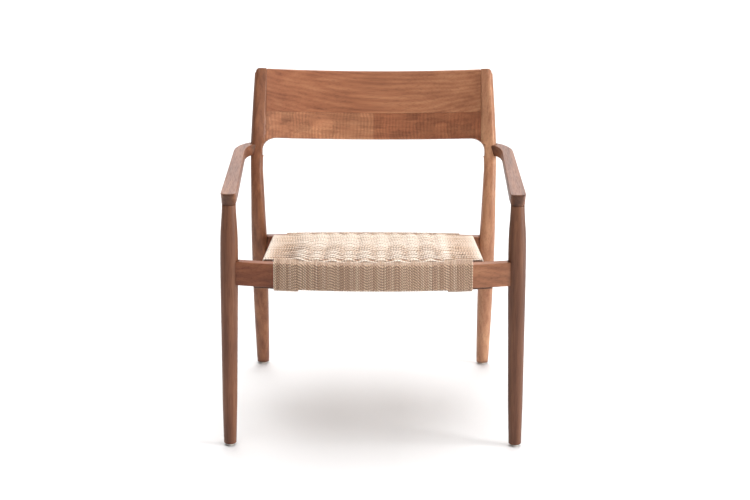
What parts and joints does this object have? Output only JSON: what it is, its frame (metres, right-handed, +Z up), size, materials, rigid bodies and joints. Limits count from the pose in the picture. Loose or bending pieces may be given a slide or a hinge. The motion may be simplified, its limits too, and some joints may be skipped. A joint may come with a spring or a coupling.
{
  "type": "armchair",
  "caption": "Low wooden armchair with slim arms, a curved two-board back and a woven paper-cord seat between turned front legs and raked rear legs",
  "frame": {"origin": "on the floor, under the centre of the chair's bounding box", "axes": "+Z up, -Y to the chair's front, +X to the right as seen from the front; the chair is symmetric across X"},
  "size_m": [0.658, 0.6444, 0.7473],
  "materials": {
    "hardwood": "oiled reddish-brown hardwood, satin",
    "tenon_wood": "bare pale beech, sawn",
    "paper_cord": "unbleached three-ply twisted paper cord, matt",
    "glide_plastic": "pale moulded nylon",
    "nail_steel": "bright drawn steel"
  },
  "bodies": {
    "root": {"arm_left": "hardwood", "arm_right": "hardwood", "arm_tenon_left": "tenon_wood", "arm_tenon_right": "tenon_wood", "back_board_lower": "hardwood", "back_board_spline": "tenon_wood", "back_board_upper": "hardwood", "back_cord_wrap": "paper_cord", "back_rail": "hardwood", "back_tenon_lower_left": "tenon_wood", "back_tenon_lower_right": "tenon_wood", "back_tenon_upper_left": "tenon_wood", "back_tenon_upper_right": "tenon_wood", "front_cord_wrap": "paper_cord", "front_corner_block_left": "hardwood", "front_corner_block_right": "hardwood", "front_glide_left": "glide_plastic", "front_glide_nail_left": "nail_steel", "front_glide_nail_right": "nail_steel", "front_glide_right": "glide_plastic", "front_leg_left": "hardwood", "front_leg_right": "hardwood", "front_rail": "hardwood", "rear_glide_left": "glide_plastic", "rear_glide_nail_left": "nail_steel", "rear_glide_nail_right": "nail_steel", "rear_glide_right": "glide_plastic", "rear_leg_left": "hardwood", "rear_leg_right": "hardwood", "side_cord_wrap_left": "paper_cord", "side_cord_wrap_right": "paper_cord", "side_rail_left": "hardwood", "side_rail_right": "hardwood", "woven_seat": "paper_cord"}
  },
  "joints": []
}
